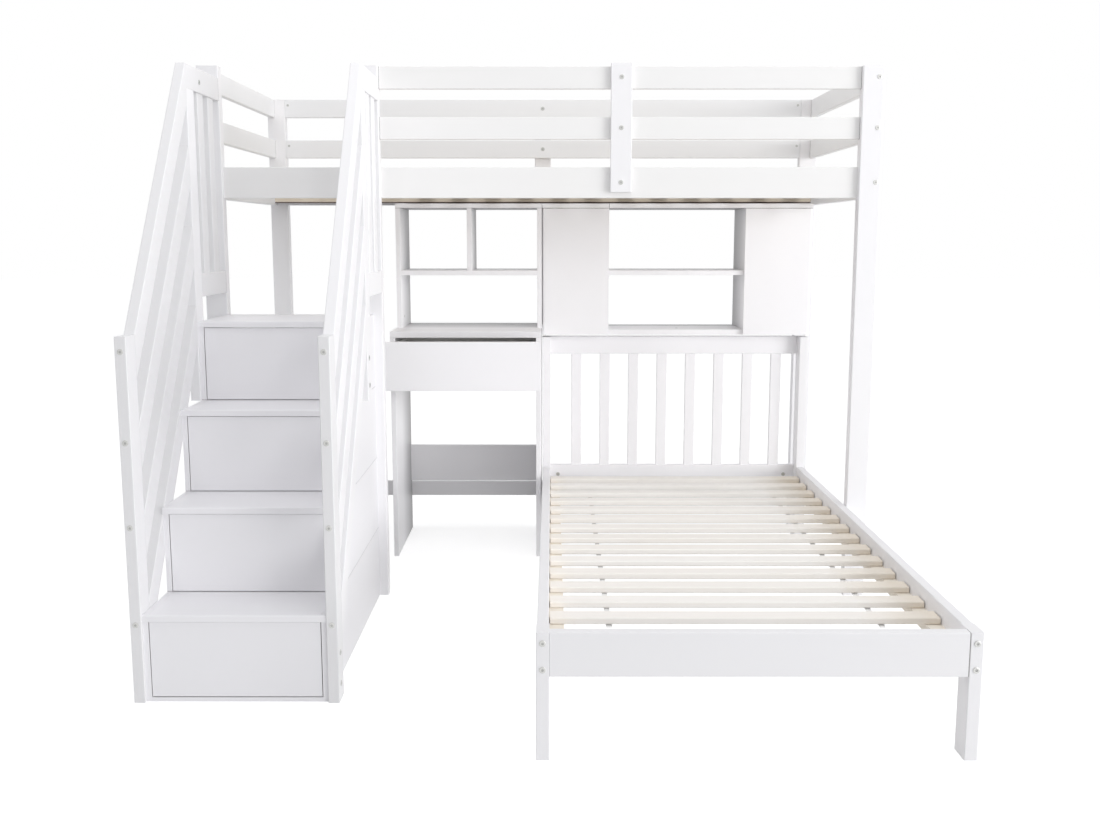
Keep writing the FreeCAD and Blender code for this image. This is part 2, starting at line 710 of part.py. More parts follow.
pivot_y = add(shelf_front, door_radius)
left_pivot = add(cabinet_left, cell("door_gap"), door_radius)
right_pivot = less(cabinet_right, cell("door_gap"), door_radius)
half_turn = 180
node("left_cabinet_door", door(
    "left_door", (add(cabinet_left, cell("door_gap")), shelf_front, door_foot), 0))
node("right_cabinet_door", door(
    "right_door",
    (less(cabinet_right, cell("door_gap")), add(shelf_front, cell("door_thick")), door_foot), half_turn))
node(
    "door_pivots",
    top_pin("left_top_pin", left_pivot), top_pin("right_top_pin", right_pivot),
    low_pivot("left_low_pivot", left_pivot), low_pivot("right_low_pivot", right_pivot),
)

# Lower bed: legs and foot rail, side rails, headboard, ledgers and slats
foot = less(front, cell("foot_reach"))
leg_back = add(foot, cell("leg_depth"))
head_front = add(foot, less(cell("lower_length"), cell("leg_depth")))
rail_foot = less(cell("lower_top"), cell("lower_rail_height"))
leg_lefts = (lower_left, less(lower_right, cell("leg_width")))
between_left = add(lower_left, cell("leg_width"))
between = less(cell("lower_width"), times(2, cell("leg_width")))
leg_size = (cell("leg_width"), cell("leg_depth"), cell("lower_top"))
node("foot_legs", *[
    board(f"foot_leg_{number}", (x, foot, "0"), leg_size, "Z", ROUND)
    for number, x in enumerate(leg_lefts)
])
node("foot_rail", board(
    "foot_rail_stock", (between_left, foot, rail_foot),
    (between, cell("foot_rail_thick"), cell("lower_rail_height")), "X", ROUND,
))
rail_lefts = (
    add(lower_left, cell("lower_rail_inset")),
    less(lower_right, cell("lower_rail_inset"), cell("lower_rail_thick")),
)
side_rail_size = (cell("lower_rail_thick"), less(head_front, leg_back), cell("lower_rail_height"))
node("lower_side_rails", *[
    board(f"lower_rail_{number}", (x, leg_back, rail_foot), side_rail_size, "Y", ROUND)
    for number, x in enumerate(rail_lefts)
])
head_size = (cell("leg_width"), cell("leg_depth"), cell("head_top"))
node("headboard_posts", *[
    board(f"head_post_{number}", (x, head_front, "0"), head_size, "Z", ROUND)
    for number, x in enumerate(leg_lefts)
])
head_rail_y = add(head_front, less(cell("leg_depth"), cell("head_rail_thick")))
head_rail_foot = less(cell("head_top"), cell("head_rail_height"))
node(
    "headboard_rails",
    board("head_rail_top", (between_left, head_rail_y, head_rail_foot),
          (between, cell("head_rail_thick"), cell("head_rail_height")), "X", ROUND),
    board("head_rail_low", (between_left, head_rail_y, rail_foot),
          (between, cell("head_rail_thick"), cell("lower_rail_height")), "X", ROUND),
)
spindle_gaps = less(between, times(SPINDLES, cell("spindle_width")))
spindle_y = add(head_rail_y, half(less(cell("head_rail_thick"), cell("spindle_thick"))))
spindles = []
for number in range(SPINDLES):
    step = f"({spindle_gaps} * {number + 1} / {SPINDLES + 1} + {number} * {cell('spindle_width')})"
    spindles.append(board(
        f"spindle_{number}", (add(between_left, step, cell("spindle_shift")), spindle_y, cell("lower_top")),
        (cell("spindle_width"), cell("spindle_thick"), less(head_rail_foot, cell("lower_top"))),
        "Z", EASE,
    ))
node("headboard_slats", *spindles)
slat_foot = less(cell("lower_top"), cell("lower_slat_drop"), cell("slat_thick"))
inner_left = add(rail_lefts[0], cell("lower_rail_thick"))
inner_right = rail_lefts[1]
ledger_width = cell("lower_ledger_width")
ledger_height = cell("lower_ledger_height")
ledger_size = (ledger_width, less(head_front, leg_back), ledger_height)
node("lower_slat_ledgers", *[
    board(f"lower_ledger_{number}", (x, leg_back, less(slat_foot, ledger_height)), ledger_size)
    for number, x in enumerate((inner_left, less(inner_right, ledger_width)))
])
slat_left = add(inner_left, cell("lower_slat_gap"))
slat_length = less(inner_right, cell("lower_slat_gap"), slat_left)
slat_size = (slat_length, cell("lower_slat_width"), cell("slat_thick"))
first_slat = add(foot, cell("foot_rail_thick"), cell("lower_slat_foot"))
node("lower_slats", *[
    board(f"lower_slat_{number}",
          (slat_left, add(first_slat, times(number, cell("lower_slat_pitch"))), slat_foot),
          slat_size, "X", ROUND_SLAT)
    for number in range(LOWER_SLATS)
])
slats_depth = add(times(LOWER_SLATS - 1, cell("lower_slat_pitch")), cell("lower_slat_width"))
strap_size = (cell("strap_width"), slats_depth, cell("strap_thick"))
strap_lefts = (
    add(lower_left, cell("strap_inset")),
    less(lower_right, cell("strap_inset"), cell("strap_width")),
)
node("lower_slat_straps", *[
    board(f"strap_{number}", (x, first_slat, less(slat_foot, cell("strap_thick"))), strap_size)
    for number, x in enumerate(strap_lefts)
])

# Check every object, then write one file for each named sub-part
doc.recompute()
for item in doc.Objects:
    if "Invalid" in item.State or "Error" in item.State:
        raise RuntimeError(f"{item.Label} failed: {item.State}")
os.makedirs("parts", exist_ok=True)
for item in nodes:
    if item.Shape.isNull() or not item.Shape.isValid():
        raise RuntimeError(f"{item.Label} has no valid shape")
for item in nodes:
    item.Shape.exportStep(f"parts/{item.Label}.step")
print(len(nodes), "sub-parts,", sum(len(item.Shape.Solids) for item in nodes), "solids")
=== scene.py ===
import bpy
import math
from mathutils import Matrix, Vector


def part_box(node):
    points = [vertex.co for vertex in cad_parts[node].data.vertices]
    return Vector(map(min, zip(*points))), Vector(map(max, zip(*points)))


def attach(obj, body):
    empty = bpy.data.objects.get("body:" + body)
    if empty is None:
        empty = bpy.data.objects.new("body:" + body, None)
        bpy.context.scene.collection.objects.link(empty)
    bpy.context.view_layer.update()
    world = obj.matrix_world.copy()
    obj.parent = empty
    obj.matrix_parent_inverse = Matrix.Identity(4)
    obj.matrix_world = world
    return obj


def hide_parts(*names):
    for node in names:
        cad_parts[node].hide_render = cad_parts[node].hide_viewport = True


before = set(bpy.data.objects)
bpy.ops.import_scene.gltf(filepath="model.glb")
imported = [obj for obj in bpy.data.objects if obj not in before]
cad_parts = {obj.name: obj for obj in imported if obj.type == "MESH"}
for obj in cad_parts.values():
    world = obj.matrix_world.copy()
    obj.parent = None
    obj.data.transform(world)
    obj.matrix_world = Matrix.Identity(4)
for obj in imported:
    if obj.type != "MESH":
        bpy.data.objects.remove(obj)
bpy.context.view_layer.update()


# Posts: five square pine posts, planed, rounded at the corners and sprayed white in two coats. They
# stand on the floor and the rails are bolted to them. The paint lets a little of the fibre show.
def place_node(tree, kind, inputs, **settings):
    made = tree.nodes.new(kind)
    for name, value in settings.items():
        setattr(made, name, value)
    for name, value in inputs.items():
        if isinstance(value, bpy.types.NodeSocket):
            tree.links.new(value, made.inputs[name])
        else:
            made.inputs[name].default_value = value
    return made


def shader_node(tree, kind, inputs, **settings):
    return place_node(tree, "ShaderNode" + kind, inputs, **settings)


def math_node(tree, operation, *values):
    return shader_node(tree, "Math", dict(enumerate(values)), operation=operation).outputs[0]


def blend_colours(tree, factor, first, second):
    mix = shader_node(tree, "Mix", {0: factor, 6: first, 7: second}, data_type="RGBA")
    return mix.outputs[2]


def effect_group(name, inputs, outputs):
    group = bpy.data.node_groups.new(name, "ShaderNodeTree")
    for label, kind in inputs:
        group.interface.new_socket(label, in_out="INPUT", socket_type="NodeSocket" + kind)
    for label, kind in outputs:
        group.interface.new_socket(label, in_out="OUTPUT", socket_type="NodeSocket" + kind)
    given = group.nodes.new("NodeGroupInput").outputs
    asked = group.nodes.new("NodeGroupOutput").inputs
    return group, given, asked


def paint_coat_group():
    group, given, asked = effect_group(
        "paint_coat",
        (("Vector", "Vector"), ("Fibre Stretch", "Vector"), ("Fibre Depth", "Float"),
         ("Colour", "Color"), ("Shade", "Color")),
        (("Colour", "Color"), ("Roughness", "Float"), ("Height", "Float")))
    stretched = shader_node(group, "VectorMath", {0: given["Vector"], 1: given["Fibre Stretch"]},
                            operation="MULTIPLY").outputs[0]
    fibre = shader_node(group, "TexNoise", {
        "Vector": stretched, "Scale": 1.0, "Detail": 5.0, "Roughness": 0.62, "Distortion": 0.35}).outputs[0]
    cloud = shader_node(group, "TexNoise", {
        "Vector": given["Vector"], "Scale": 2.3, "Detail": 2.0}).outputs[0]
    stipple = shader_node(group, "TexNoise", {
        "Vector": given["Vector"], "Scale": 620.0, "Detail": 2.0}).outputs[0]
    thin_paint = shader_node(group, "MapRange", {
        "Value": fibre, "From Min": 0.48, "From Max": 0.78, "To Min": 0.0, "To Max": 0.55}).outputs[0]
    tired = shader_node(group, "MapRange", {
        "Value": cloud, "From Min": 0.35, "From Max": 0.75, "To Min": 0.0, "To Max": 0.45}).outputs[0]
    both = math_node(group, "MAXIMUM", thin_paint, tired)
    group.links.new(blend_colours(group, both, given["Colour"], given["Shade"]), asked["Colour"])
    speck = math_node(group, "MULTIPLY_ADD", stipple, 0.5, math_node(group, "MULTIPLY", cloud, 0.5))
    rough = shader_node(group, "MapRange", {
        "Value": speck, "From Min": 0.3, "From Max": 0.7, "To Min": 0.36, "To Max": 0.52}).outputs[0]
    group.links.new(rough, asked["Roughness"])
    relief = math_node(group, "MULTIPLY_ADD", fibre, given["Fibre Depth"],
                       math_node(group, "MULTIPLY", stipple, 0.16))
    group.links.new(relief, asked["Height"])
    return group


paint_coat = paint_coat_group()
WHITE_PAINT = (0.872, 0.866, 0.882, 1)
PAINT_SHADE = (0.848, 0.841, 0.854, 1)
NO_TURN = (0, 0, 0)


def new_finish(name, turn=NO_TURN):
    material = bpy.data.materials.new(name)
    material.use_nodes = True
    tree = material.node_tree
    spot = shader_node(tree, "TexCoord", {}).outputs["Object"]
    if any(turn):
        spot = shader_node(tree, "Mapping", {"Vector": spot, "Rotation": turn}).outputs[0]
    return material, tree, tree.nodes["Principled BSDF"], spot


def lay_coat(tree, shader, coat, spot, marks, bump_strength, bump_depth):
    seen = coat.outputs["Colour"]
    for mark in marks:
        seen = mark(tree, spot, seen)
    bump = shader_node(tree, "Bump", {
        "Strength": bump_strength, "Distance": bump_depth, "Height": coat.outputs["Height"]})
    tree.links.new(seen, shader.inputs["Base Color"])
    tree.links.new(coat.outputs["Roughness"], shader.inputs["Roughness"])
    tree.links.new(bump.outputs[0], shader.inputs["Normal"])


def painted(name, stretch, depth=1.0, colour=WHITE_PAINT, shade=PAINT_SHADE, turn=NO_TURN, marks=()):
    material, tree, shader, spot = new_finish(name, turn)
    coat = shader_node(tree, "Group", {}, node_tree=paint_coat)
    tree.links.new(spot, coat.inputs["Vector"])
    for label, value in (("Fibre Stretch", stretch), ("Fibre Depth", depth),
                         ("Colour", colour), ("Shade", shade)):
        coat.inputs[label].default_value = value
    lay_coat(tree, shader, coat, spot, marks, bump_strength=0.35, bump_depth=0.0005)
    shader.inputs["Specular IOR Level"].default_value = 0.4
    return material


def finish_nodes(material, *names):
    for name in names:
        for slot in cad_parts[name].material_slots:
            slot.material = material


UPRIGHT_GRAIN = (52, 52, 1.7)
upright_paint = painted("upright_board_paint", UPRIGHT_GRAIN)
finish_nodes(upright_paint, "front_posts", "back_posts", "stair_post")


# Rails of the upper bed: planed pine boards on edge between the posts, deck rails below and two guard
# rails above, painted like the posts. The stretcher near the floor ties the two back posts together.
LONG_GRAIN = (1.7, 52, 52)
CROSS_GRAIN = (52, 1.7, 52)
# The rails take darker copies of the post white and the stretcher a lighter one: painted shade and painted
# light that even out how the lamps reach them.
FRONT_RAIL_DIMMED_COAT = {"colour": (0.848, 0.843, 0.838, 1), "shade": (0.826, 0.821, 0.814, 1)}
BACK_RAIL_DIMMED_COAT = {"colour": (0.842, 0.845, 0.858, 1), "shade": (0.820, 0.822, 0.832, 1)}
STRETCHER_BRIGHTENED_WHITE = (0.90, 0.892, 0.905, 1)
finish_nodes(painted("front_rail_paint", LONG_GRAIN, **FRONT_RAIL_DIMMED_COAT), "upper_front_rail")
finish_nodes(painted("back_rail_paint", LONG_GRAIN, **BACK_RAIL_DIMMED_COAT), "upper_back_rail", "back_guard_rails")
finish_nodes(painted("stretcher_paint", LONG_GRAIN, colour=STRETCHER_BRIGHTENED_WHITE), "back_stretcher")


# Thin dark lines ruled across a face; every use below is painted shade in a joint or seam between parts.
def ruled(axis, places, half, tone):
    def mark(tree, spot, colour):
        along = shader_node(tree, "SeparateXYZ", {"Vector": spot}).outputs[axis]
        for place in places:
            colour = blend_colours(tree, math_node(tree, "COMPARE", along, place, half), colour, tone)
        return colour
    return mark


# The guard and end rails darken in a thin line where they butt against the posts, painted shade in the joint.
JOINT_SHADE = (0.34, 0.335, 0.34, 1)
FRONT_END_LINE, SIDE_END_LINE = 0.0016, 0.0022
guard_low, guard_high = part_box("front_guard_rails")
guard_end_shade = ruled("X", (guard_low.x, guard_high.x), FRONT_END_LINE, JOINT_SHADE)
finish_nodes(painted("front_guard_paint", LONG_GRAIN, **FRONT_RAIL_DIMMED_COAT, marks=(guard_end_shade,)),
             "front_guard_rails")
end_low, end_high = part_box("end_guard_rails")
side_end_shade = ruled("Y", (end_low.y, end_high.y), SIDE_END_LINE, JOINT_SHADE)
finish_nodes(painted("end_rail_paint", CROSS_GRAIN, **BACK_RAIL_DIMMED_COAT, marks=(side_end_shade,)),
             "upper_end_rails", "end_guard_rails")


# Guard plate and back upright: short pine boards screwed flat across the guard rails, one outside the
# front and one behind the back, so that the long rails can't be pushed apart.
finish_nodes(upright_paint, "front_guard_plate", "back_guard_upright")


# Upper deck: bare pine slats on pine ledgers that are screwed along the inside of the deck rails. The
# wood is planed and left raw, so rings, fibres and a few knots show. The ledgers take a far paler copy
# of the pine as painted light against the shade under the deck, a dark band along their feet as painted
# shade, and painted shade between the slats, where lamp light falls through the gaps.
KNOT_BROWN = (0.33, 0.19, 0.095, 1)


def pine_wood_group():
    group, given, asked = effect_group(
        "pine_wood",
        (("Vector", "Vector"), ("Board", "Float"), ("Light", "Color"), ("Dark", "Color"),
         ("Ring Strength", "Float"), ("Knot Strength", "Float")),
        (("Colour", "Color"), ("Roughness", "Float"), ("Height", "Float")))
    seed = math_node(group, "MULTIPLY", given["Board"], 3.71)
    shift = shader_node(group, "CombineXYZ", {
        "X": seed, "Y": math_node(group, "MULTIPLY", seed, 0.61), "Z": seed}).outputs[0]
    own = shader_node(group, "VectorMath", {0: given["Vector"], 1: shift}, operation="ADD").outputs[0]

    def along(stretch):
        return shader_node(group, "VectorMath", {0: own, 1: stretch}, operation="MULTIPLY").outputs[0]

    swell = shader_node(group, "TexNoise", {
        "Vector": along((0.9, 11, 11)), "Scale": 1.0, "Detail": 1.0, "Distortion": 0.25}).outputs[0]
    rings = math_node(group, "PINGPONG", math_node(group, "MULTIPLY", swell, 13.0), 1.0)
    late = math_node(group, "POWER", rings, 3.0)
    fibre = shader_node(group, "TexNoise", {
        "Vector": along((7, 420, 420)), "Scale": 1.0, "Detail": 3.0}).outputs[0]
    fine = math_node(group, "MULTIPLY", fibre, math_node(group, "MULTIPLY", given["Ring Strength"], 0.6))
    grain = math_node(group, "MULTIPLY_ADD", late, given["Ring Strength"], fine)
    knot_cells = shader_node(group, "TexVoronoi", {"Vector": along((1.9, 9.5, 9.5)), "Scale": 1.0})
    chosen = math_node(group, "GREATER_THAN", shader_node(
        group, "SeparateColor", {"Color": knot_cells.outputs["Color"]}).outputs[0], 0.72)
    near = shader_node(group, "MapRange", {
        "Value": knot_cells.outputs["Distance"], "From Min": 0.12, "From Max": 0.05,
        "To Min": 0.0, "To Max": 1.0}).outputs[0]
    knot = math_node(group, "MULTIPLY", near, chosen)
    tone = shader_node(group, "TexWhiteNoise", {"W": given["Board"]}, noise_dimensions="1D").outputs["Value"]
    base = blend_colours(group, math_node(group, "MULTIPLY", tone, 0.28), given["Light"], given["Dark"])
    wood = blend_colours(group, grain, base, given["Dark"])
    knotted = blend_colours(group, math_node(group, "MULTIPLY", knot, given["Knot Strength"]), wood,
                            KNOT_BROWN)
    group.links.new(knotted, asked["Colour"])
    rough = shader_node(group, "MapRange", {
        "Value": fibre, "From Min": 0.3, "From Max": 0.7, "To Min": 0.52, "To Max": 0.68}).outputs[0]
    group.links.new(rough, asked["Roughness"])
    group.links.new(math_node(group, "MULTIPLY_ADD", late, 0.5, fibre), asked["Height"])
    return group


pine_wood = pine_wood_group()


def pine(name, light, dark, rings, first, pitch, turn=NO_TURN, knots=0.6, marks=()):
    material, tree, shader, spot = new_finish(name, turn)
    across = shader_node(tree, "SeparateXYZ", {"Vector": spot}).outputs["Y"]
    steps = math_node(tree, "DIVIDE", math_node(tree, "SUBTRACT", across, first), pitch)
    wood = shader_node(tree, "Group", {}, node_tree=pine_wood)
    tree.links.new(spot, wood.inputs["Vector"])
    tree.links.new(math_node(tree, "ROUND", steps), wood.inputs["Board"])
    for label, value in (("Light", light), ("Dark", dark), ("Ring Strength", rings),
                         ("Knot Strength", knots)):
        wood.inputs[label].default_value = value
    lay_coat(tree, shader, wood, spot, marks, bump_strength=0.3, bump_depth=0.0003)
    shader.inputs["Specular IOR Level"].default_value = 0.3
    return material


UPPER_SLATS = 16
UPPER_SLAT_WIDTH = 0.07
deck_left, deck_right = (corner.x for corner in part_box("upper_slats"))
first_board = deck_left + UPPER_SLAT_WIDTH / 2
slat_pitch = (deck_right - deck_left - UPPER_SLAT_WIDTH) / (UPPER_SLATS - 1)
QUARTER_LEFT = (0, 0, math.radians(90))
PINE_LIGHT = (0.84, 0.775, 0.67, 1)
PINE_DARK = (0.66, 0.53, 0.38, 1)
finish_nodes(pine("upper_slat_pine", PINE_LIGHT, PINE_DARK, rings=0.42, first=first_board, pitch=slat_pitch,
                  turn=QUARTER_LEFT), "upper_slats")
# Painted shade: the ledger darkens between the slats, where lamp light falls through the gaps, to even out
# the stripes.
GAP_SHADE = (0.70, 0.60, 0.47, 1)
GAP_SHADE_SHARE = 0.25


def gap_shaded(tree, spot, colour):
    along = shader_node(tree, "SeparateXYZ", {"Vector": spot}).outputs["X"]
    turns = math_node(tree, "MULTIPLY", math_node(tree, "SUBTRACT", along, first_board),
                      math.tau / slat_pitch)
    gap_shade_amount = math_node(tree, "MULTIPLY_ADD", math_node(tree, "COSINE", turns), -GAP_SHADE_SHARE, GAP_SHADE_SHARE)
    return blend_colours(tree, gap_shade_amount, colour, GAP_SHADE)


# The ledger pine is far paler than the slat pine, painted light against the shade under the deck.
LEDGER_LIGHT = (0.99, 0.92, 0.80, 1)
LEDGER_DARK = (0.93, 0.83, 0.69, 1)
# A dark band along the ledgers' feet, painted shade where they sit under the deck.
LEDGER_FOOT_SHADE = (0.11, 0.07, 0.06, 1)
LEDGER_FOOT_LINE = 0.0028
ledger_foot_shade = ruled("Z", (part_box("upper_slat_ledgers")[0].z,), LEDGER_FOOT_LINE, LEDGER_FOOT_SHADE)
finish_nodes(pine("ledger_pine", LEDGER_LIGHT, LEDGER_DARK, rings=0.16, first=0.0, pitch=0.5,
                  marks=(gap_shaded, ledger_foot_shade)), "upper_slat_ledgers")


# Stair case: side boards stacked step by step, a base board and four treads, all cut from panel and
# sprayed white. The treads are let in between the sides and screwed through them from outside.
PANEL_WHITE = (0.868, 0.861, 0.884, 1)
PANEL_SHADE = (0.852, 0.844, 0.864, 1)
PANEL_STIPPLE = (30, 30, 30)
# The side boards take a thin grey line just above each tread, painted shade in the seam.
STACK_LIFT, STACK_LINE = 0.0013, 0.0011
STACK_SEAM_SHADE = (0.50, 0.49, 0.50, 1)


def panel(name, *marks, colour=PANEL_WHITE, shade=PANEL_SHADE):
    return painted(name, PANEL_STIPPLE, depth=0.25, colour=colour, shade=shade, marks=marks)


finish_nodes(panel("panel_paint"), "stair_base_board", "stair_tread_1", "stair_tread_2", "stair_tread_3",
             "stair_tread_4")
stack_lines = [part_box(f"stair_tread_{step}")[1].z + STACK_LIFT for step in (1, 2, 3)]
finish_nodes(panel("stair_side_paint", ruled("Z", stack_lines, STACK_LINE, STACK_SEAM_SHADE)),
             "stair_left_side", "stair_right_side")


# Stair drawers: a plain painted front without a handle, and behind it a box of thin white lined board
# with a let-in bottom. Each box slides on the board below it. The front's edges are painted dark grey,
# painted shade in the gaps around it.
LINING_STIPPLE = (140, 140, 140)
LINING_WHITE = (0.80, 0.79, 0.775, 1)
LINING_SHADE = (0.755, 0.745, 0.725, 1)
EDGE_SHADE = (0.33, 0.315, 0.31, 1)
lining = painted("drawer_lining", LINING_STIPPLE, depth=0.5, colour=LINING_WHITE, shade=LINING_SHADE)


# Painted shade: the front's side, top and bottom faces turn dark grey, for the gaps around it.
def shaded_edges(tree, spot, colour):
    facing = shader_node(tree, "SeparateXYZ", {
        "Vector": shader_node(tree, "TexCoord", {}).outputs["Normal"]}).outputs["Y"]
    edge = math_node(tree, "LESS_THAN", math_node(tree, "ABSOLUTE", facing), 0.3)
    return blend_colours(tree, edge, colour, EDGE_SHADE)


drawer_paint = panel("drawer_front_paint", shaded_edges)
for step in range(1, 5):
    finish_nodes(drawer_paint, f"stair_drawer_front_{step}")
    finish_nodes(lining, f"stair_drawer_box_{step}")


# Stair guards: newels at the front, stiles at the landing, four slanted boards cut plumb between them
# and a landing guard of two boards with balusters, all pine painted white. The newels and the left side
# take a darker copy of the white, painted shade against the light that falls on them.
newel_low, newel_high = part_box("stair_newels")
landing_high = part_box("left_landing_guard")[1]
slant_low, slant_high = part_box("left_slanted_boards")
slope = math.atan2(landing_high.z - newel_high.z, slant_high.y - slant_low.y)
SLANT_TURN = (-slope, 0, 0)
# A darker copy of the white, painted shade for the newels and the left guard.
DIMMED_COAT = {"colour": (0.806, 0.801, 0.813, 1), "shade": (0.780, 0.774, 0.785, 1)}
LANDING_LINE = 0.0018
# The landing guards darken in a thin line at their back end, painted shade in the joint.
landing_end_shade = ruled("Y", (landing_high.y,), LANDING_LINE, JOINT_SHADE)
finish_nodes(upright_paint, "stair_stiles")
finish_nodes(painted("newel_paint", UPRIGHT_GRAIN, **DIMMED_COAT), "stair_newels")
finish_nodes(painted("slanted_board_paint", CROSS_GRAIN, turn=SLANT_TURN), "right_slanted_boards")
finish_nodes(painted("left_slant_paint", CROSS_GRAIN, **DIMMED_COAT, turn=SLANT_TURN), "left_slanted_boards")
finish_nodes(painted("landing_paint", CROSS_GRAIN, marks=(landing_end_shade,)), "right_landing_guard")
finish_nodes(painted("left_landing_paint", CROSS_GRAIN, **DIMMED_COAT, marks=(landing_end_shade,)),
             "left_landing_guard")


# Desk: two panel sides, a top, a low modesty panel at the back and one wide drawer on pine runners,
# which stands a little open. The boards take a lighter copy of the white as painted light, and the
# sides and top darken towards the wall as painted shade.
# A lighter copy of the white, painted light that lifts boards out of the shade under the deck; the desk, the
# shelf unit, its doors and the headboard all take it.
BRIGHTENED_COAT = {"colour": (0.925, 0.917, 0.935, 1), "shade": (0.905, 0.897, 0.915, 1)}
BACK_SHADE = (0.30, 0.295, 0.30, 1)


def board(name, *marks):
    return panel(name, *marks, **BRIGHTENED_COAT)


# Painted shade: a board darkens towards its back edge, where less light reaches it.
def shaded_back(node, unshaded_depth, share):
    front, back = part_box(node)

    def mark(tree, spot, colour):
        depth = shader_node(tree, "SeparateXYZ", {"Vector": spot}).outputs["Y"]
        fade = shader_node(tree, "MapRange", {
            "Value": depth, "From Min": front.y + unshaded_depth, "From Max": back.y, "To Max": share}).outputs[0]
        return blend_colours(tree, fade, colour, BACK_SHADE)
    return mark


finish_nodes(board("desk_paint", shaded_back("desk_sides", unshaded_depth=0.17, share=0.85)), "desk_top", "desk_sides")
finish_nodes(board("desk_front_paint"), "desk_modesty_panel", "desk_drawer_front")
finish_nodes(lining, "desk_drawer_box")
finish_nodes(pine("runner_pine", PINE_LIGHT, PINE_DARK, rings=0.4, first=0.0, pitch=0.5, turn=QUARTER_LEFT),
             "desk_drawer_runners")


# Shelf unit and cabinets: white panels dowelled together, one run above the desk and one above the
# headboard, with two flush doors that turn on steel pins let into their top and bottom edges.
# The shelf unit's walls, shelves and tops darken towards the back as painted shade.
wall_back_shade = shaded_back("hutch_sides", unshaded_depth=0.02, share=0.86)
shelf_back_shade = shaded_back("hutch_sides", unshaded_depth=0.18, share=0.86)
finish_nodes(board("wall_paint", wall_back_shade), "hutch_sides", "hutch_divider", "cabinet_walls")
finish_nodes(board("shelf_paint", shelf_back_shade), "hutch_shelf", "cabinet_bottom", "cabinet_shelf")
# Thin grey lines at the door's butt joint and along the foot of the top boards, painted shade in the joints.
TOP_SEAM_SHADE = (0.28, 0.275, 0.28, 1)
BUTT_LINE, FOOT_LINE = 0.0009, 0.0012
door_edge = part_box("left_cabinet_door")[1].x
top_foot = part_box("unit_tops")[0].z
finish_nodes(board("unit_top_paint", wall_back_shade, ruled("X", (door_edge,), BUTT_LINE, TOP_SEAM_SHADE),
                   ruled("Z", (top_foot,), FOOT_LINE, TOP_SEAM_SHADE)), "unit_tops")
finish_nodes(board("door_paint"), "left_cabinet_door", "right_cabinet_door")


def zinc_plate(name, dull, bright, pit):
    material, tree, shader, spot = new_finish(name)
    spangle = shader_node(tree, "TexNoise", {"Vector": spot, "Scale": 420.0, "Detail": 3.0}).outputs[0]
    tint = blend_colours(tree, spangle, (dull, dull, dull - 0.01, 1), (bright, bright, bright - 0.02, 1))
    # The socket's floor and walls take the darker pit colour, painted shade in the hollow.
    sunk = shader_node(tree, "Attribute", {}, attribute_name="socket").outputs["Fac"]
    tree.links.new(blend_colours(tree, sunk, tint, (pit, pit, pit - 0.01, 1)), shader.inputs["Base Color"])
    tree.links.new(shader_node(tree, "MapRange", {
        "Value": spangle, "To Min": 0.26, "To Max": 0.44}).outputs[0], shader.inputs["Roughness"])
    shader.inputs["Metallic"].default_value = 1.0
    return material


zinc = zinc_plate("bolt_zinc", dull=0.46, bright=0.66, pit=0.40)
# The door pins take a far paler copy of the zinc, painted light that keeps them from showing dark.
finish_nodes(zinc_plate("pivot_zinc", dull=0.84, bright=0.93, pit=0.84), "door_pivots")


# Lower bed: legs, foot rail, side rails and a headboard of upright boards, all painted pine. The side
# rails are bolted behind the legs and against the headboard posts.
finish_nodes(upright_paint, "foot_legs", "headboard_posts")
# The headboard takes the lighter copy of the white, painted light against the shade under the deck.
finish_nodes(painted("headboard_slat_paint", UPRIGHT_GRAIN, **BRIGHTENED_COAT), "headboard_slats")
finish_nodes(painted("headboard_rail_paint", LONG_GRAIN, **BRIGHTENED_COAT), "headboard_rails")
# A thin dark line ruled where the foot rail butts against the right leg, painted shade in the joint.
FOOT_SEAM_SHADE = (0.20, 0.19, 0.19, 1)
FOOT_SEAM_LINE = 0.0014
foot_end_shade = ruled("X", (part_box("foot_rail")[1].x,), FOOT_SEAM_LINE, FOOT_SEAM_SHADE)
finish_nodes(painted("foot_rail_paint", LONG_GRAIN, marks=(foot_end_shade,)), "foot_rail")
finish_nodes(painted("side_rail_paint", CROSS_GRAIN), "lower_side_rails")


# Lower slats: fourteen bare pine slats with rounded edges, paler than the deck above, that lie loose on
# pine ledgers screwed along the insides of the side rails.
LOWER_SLATS = 14
LOWER_SLAT_WIDTH = 0.058
SLAT_CREAM = (0.965, 0.94, 0.908, 1)
SLAT_STREAK = (0.89, 0.83, 0.75, 1)
# The slat ends darken to this colour as painted shade under the side rails; the lower ledgers take it as
# their dark grain.
SLAT_END_SHADE_AND_LEDGER_DARK = (0.80, 0.70, 0.56, 1)
LOWER_LEDGER_LIGHT = (0.89, 0.84, 0.76, 1)
RIGHT_SHADE_FROM, RIGHT_SHADE_FULL, LEFT_SHADE_FROM = 0.19, 0.03, 0.06
low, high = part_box("lower_slats")
lower_pitch = (high.y - low.y - LOWER_SLAT_WIDTH) / (LOWER_SLATS - 1)
first_slat = low.y + LOWER_SLAT_WIDTH / 2


